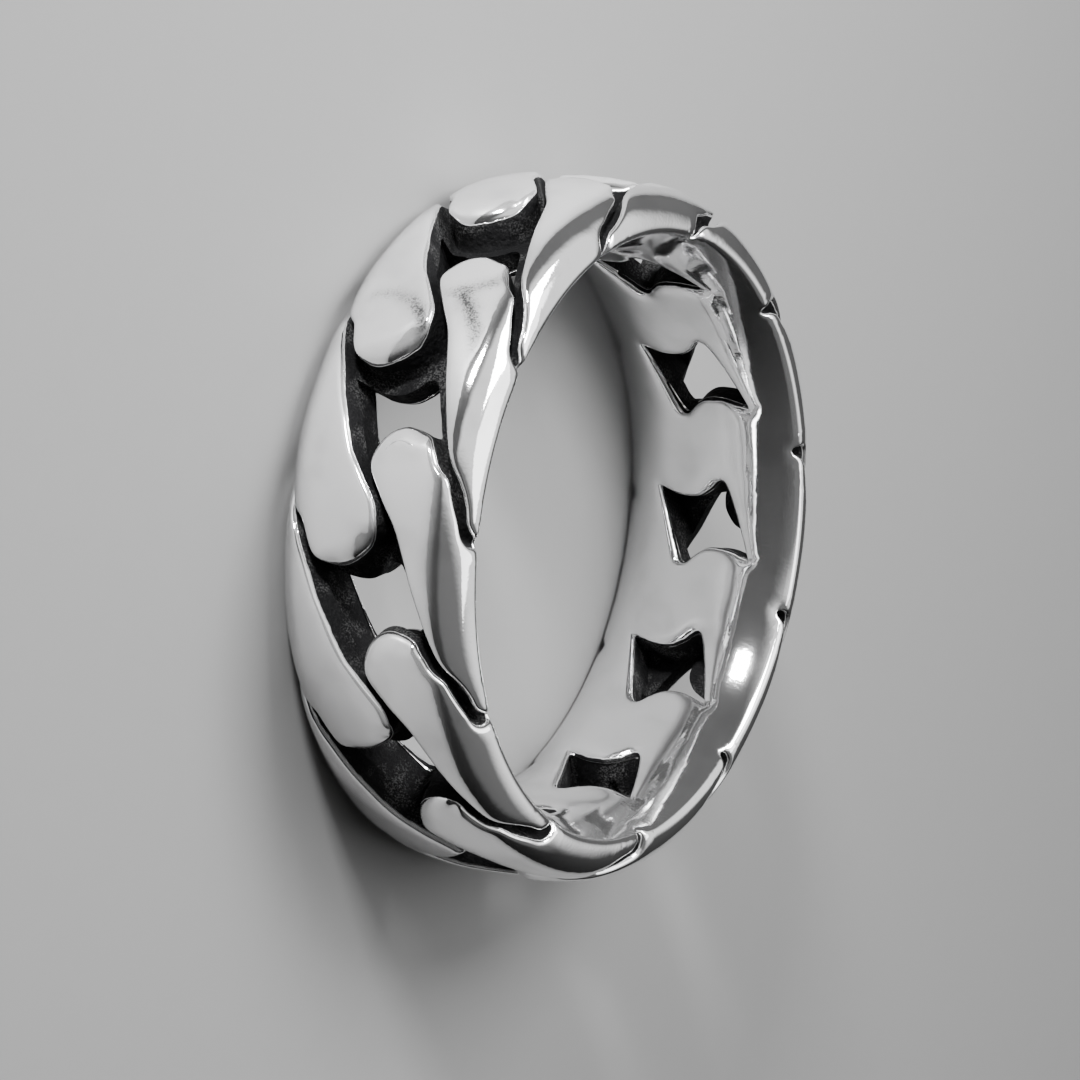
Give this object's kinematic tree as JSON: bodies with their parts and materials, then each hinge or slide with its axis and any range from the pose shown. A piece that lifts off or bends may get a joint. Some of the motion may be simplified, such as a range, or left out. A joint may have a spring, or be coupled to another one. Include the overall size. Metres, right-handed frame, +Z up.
{
  "type": "chain link ring",
  "caption": "Domed finger ring cast as a flattened curb chain, with two rows of round-tipped links, a blackened recess and windows through the band.",
  "frame": {"origin": "centre of the finger hole, in the plane that the ring lies on", "axes": "+Z up along the axis of the finger hole; +X through the middle of a gap between two links"},
  "size_m": [0.0251, 0.0252, 0.0074],
  "materials": {
    "polished_metal": "hand-polished silver, blackened in the recess and the slots"
  },
  "bodies": {
    "root": {"link_band": "polished_metal"}
  },
  "joints": []
}
